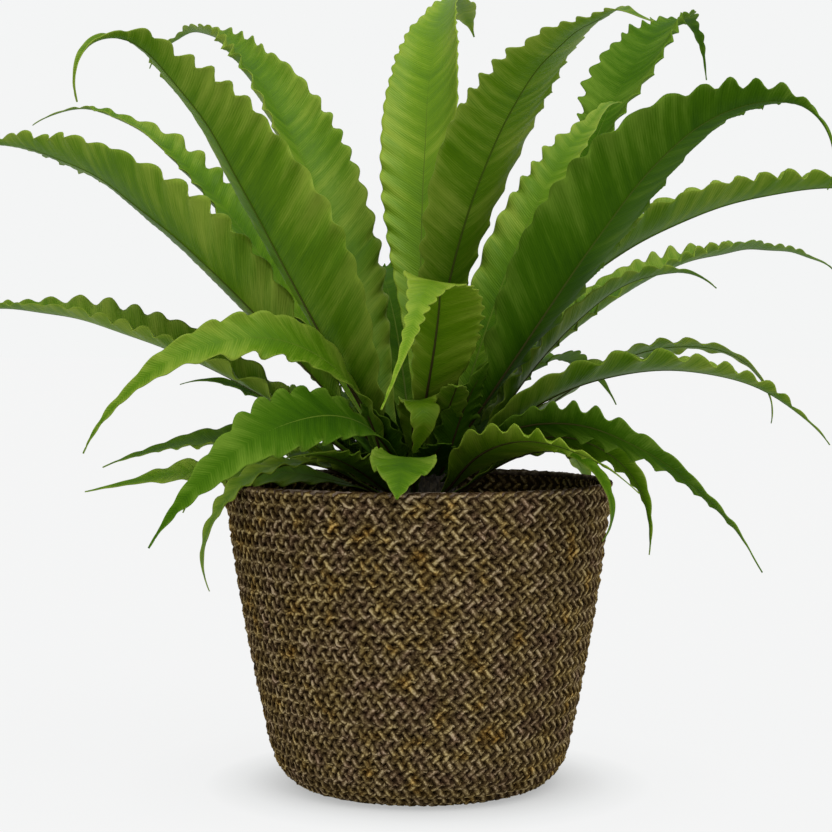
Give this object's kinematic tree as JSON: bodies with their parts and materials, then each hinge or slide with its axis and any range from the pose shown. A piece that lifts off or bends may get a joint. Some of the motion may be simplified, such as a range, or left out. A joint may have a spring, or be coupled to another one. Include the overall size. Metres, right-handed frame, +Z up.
{
  "type": "potted fern",
  "caption": "Fern with long undivided wavy-edged arching fronds, in a plastic grow pot inside a round tapered basket of coiled braid.",
  "frame": {"origin": "centre of the basket's flat underside, below the middle of the mouth", "axes": "+Z up, -Y towards the side that the picture shows, +X to its right"},
  "size_m": [0.7031, 0.7113, 0.5304],
  "materials": {
    "braid": "matt braided yarn",
    "pot_plastic": "thin moulded plastic",
    "soil": "damp crumbly potting soil",
    "crown_bark": "rough fibrous scales",
    "frond": "smooth leaf with a soft sheen"
  },
  "bodies": {
    "root": {"basket": "braid", "nursery_pot": "pot_plastic", "soil": "soil", "crown": "crown_bark", "frond_tall_back": "frond", "frond_tall_front": "frond", "frond_small_left": "frond", "frond_folded_front": "frond", "frond_right_front": "frond", "frond_right_sweep": "frond", "frond_right_back": "frond", "frond_right_hook": "frond", "frond_back": "frond", "frond_left_back": "frond", "frond_left_behind": "frond", "frond_left_sweep": "frond", "frond_left_front": "frond", "frond_small_forked": "frond", "frond_small_right": "frond", "frond_right_1": "frond", "frond_right_2": "frond", "frond_right_3": "frond", "frond_right_4": "frond", "frond_right_5": "frond", "frond_back_1": "frond", "frond_back_2": "frond", "frond_back_3": "frond", "frond_left_1": "frond", "frond_left_2": "frond", "frond_left_3": "frond", "frond_left_4": "frond", "frond_low_right_1": "frond", "frond_low_right_2": "frond", "frond_low_right_3": "frond", "frond_low_front": "frond", "frond_low_left_1": "frond", "frond_low_left_2": "frond", "frond_low_left_3": "frond", "frond_low_left_4": "frond", "frond_low_back_1": "frond", "frond_low_back_2": "frond", "frond_low_back_3": "frond"}
  },
  "joints": []
}
